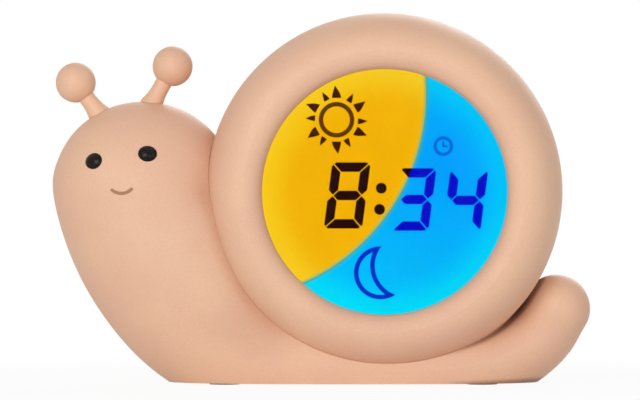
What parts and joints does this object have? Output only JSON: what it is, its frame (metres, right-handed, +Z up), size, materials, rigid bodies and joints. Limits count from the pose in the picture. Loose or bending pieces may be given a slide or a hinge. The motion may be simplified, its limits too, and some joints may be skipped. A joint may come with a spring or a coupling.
{
  "type": "alarm clock",
  "caption": "Snail-shaped children's alarm clock: a round shell with an amber and blue backlit display, antennae, rear keys, slide switch, battery bay and USB inlet.",
  "frame": {"origin": "centre of the bounding box at the bottom of the rubber feet", "axes": "+X towards the tail, -Y out of the display, +Z up"},
  "size_m": [0.1612, 0.056, 0.1109],
  "materials": {
    "peach_plastic": "soft-touch matte, fine grain",
    "cream_plastic": "satin moulded",
    "black_gloss": "polished",
    "brown_plastic": "matte inlay",
    "grey_foam": "closed-cell foam",
    "clear_window": "clear polished acrylic",
    "display_glass": "clear liquid-crystal glass",
    "ribbon_film": "polyimide film",
    "white_plastic": "white reflector",
    "white_board": "white solder mask",
    "green_board": "green solder mask",
    "black_plastic": "moulded",
    "zinc_steel": "zinc plated",
    "nickel_steel": "nickel plated",
    "cell_wrap": "plain printed sleeve",
    "cone_paper": "pressed cone",
    "magnet_ferrite": "sintered",
    "foot_rubber": "matte",
    "lead_sleeve": "soft sleeve",
    "amber_diffuser": "milky, lit amber",
    "blue_diffuser": "milky, lit blue",
    "amber_lamp": "lit lamp",
    "blue_lamp": "lit lamp"
  },
  "bodies": {
    "case": {"alarm_slide_switch": "black_plastic", "amber_leds": "amber_lamp", "antenna_left": "peach_plastic", "antenna_right": "peach_plastic", "battery_1": "cell_wrap", "battery_2": "cell_wrap", "battery_3": "cell_wrap", "battery_contacts": "nickel_steel", "battery_lead": "lead_sleeve", "battery_springs": "nickel_steel", "battery_tray": "cream_plastic", "blue_leds": "blue_lamp", "board_chips": "black_plastic", "body_front_shell": "peach_plastic", "body_rear_shell": "peach_plastic", "body_screws": "zinc_steel", "day_diffuser": "amber_diffuser", "display_ribbon": "ribbon_film", "display_window": "clear_window", "eye_left": "black_gloss", "eye_right": "black_gloss", "lcd_panel": "display_glass", "led_board": "white_board", "led_lead": "lead_sleeve", "light_box": "white_plastic", "light_box_screws": "zinc_steel", "main_board": "green_board", "main_board_screws": "zinc_steel", "night_diffuser": "blue_diffuser", "rubber_feet": "foot_rubber", "shell_front_ring": "peach_plastic", "shell_rear_cover": "peach_plastic", "shell_screws": "zinc_steel", "smile_inlay": "brown_plastic", "speaker_cone": "cone_paper", "speaker_frame": "zinc_steel", "speaker_lead": "lead_sleeve", "speaker_magnet": "magnet_ferrite", "tact_switches": "black_plastic", "tray_screws": "zinc_steel", "usb_board": "green_board", "usb_board_screws": "zinc_steel", "usb_lead": "lead_sleeve", "usb_socket": "nickel_steel", "window_seal": "grey_foam"},
    "set_key_cap": {"set_key": "cream_plastic", "set_plunger": "black_plastic"},
    "alarm_key_cap": {"alarm_key": "cream_plastic", "alarm_plunger": "black_plastic"},
    "minus_key_cap": {"minus_key": "cream_plastic", "minus_plunger": "black_plastic"},
    "plus_key_cap": {"plus_key": "cream_plastic", "plus_plunger": "black_plastic"},
    "light_key_cap": {"light_key": "cream_plastic", "light_plunger": "black_plastic"},
    "alarm_slider": {"alarm_slide_knob": "cream_plastic"},
    "door": {"battery_door": "peach_plastic"},
    "door_fastener": {"battery_door_screw": "zinc_steel"}
  },
  "joints": [
    {"name": "set_press", "type": "slide", "parent": "case", "child": "set_key_cap", "axis": [0, -1, 0], "range_m": [0, 0.0006], "stiffness_N_per_m": 800},
    {"name": "alarm_press", "type": "slide", "parent": "case", "child": "alarm_key_cap", "axis": [0, -1, 0], "range_m": [0, 0.0006], "stiffness_N_per_m": 800},
    {"name": "minus_press", "type": "slide", "parent": "case", "child": "minus_key_cap", "axis": [0, -1, 0], "range_m": [0, 0.0006], "stiffness_N_per_m": 800},
    {"name": "plus_press", "type": "slide", "parent": "case", "child": "plus_key_cap", "axis": [0, -1, 0], "range_m": [0, 0.0006], "stiffness_N_per_m": 800},
    {"name": "light_press", "type": "slide", "parent": "case", "child": "light_key_cap", "axis": [0, -1, 0], "range_m": [0, 0.0006], "stiffness_N_per_m": 800},
    {"name": "alarm_slide", "type": "slide", "parent": "case", "child": "alarm_slider", "axis": [1, 0, 0], "range_m": [0, 0.004]},
    {"name": "battery_door_swing", "type": "hinge", "parent": "case", "child": "door", "pos_m": [-0.0065, 0.026, 0.0477], "axis": [0, 0, 1], "range_deg": [0, 80]},
    {"name": "battery_door_screw_turn", "type": "hinge", "parent": "door", "child": "door_fastener", "pos_m": [0.0474, 0.026, 0.0477], "axis": [0, 1, 0], "continuous": true}
  ]
}
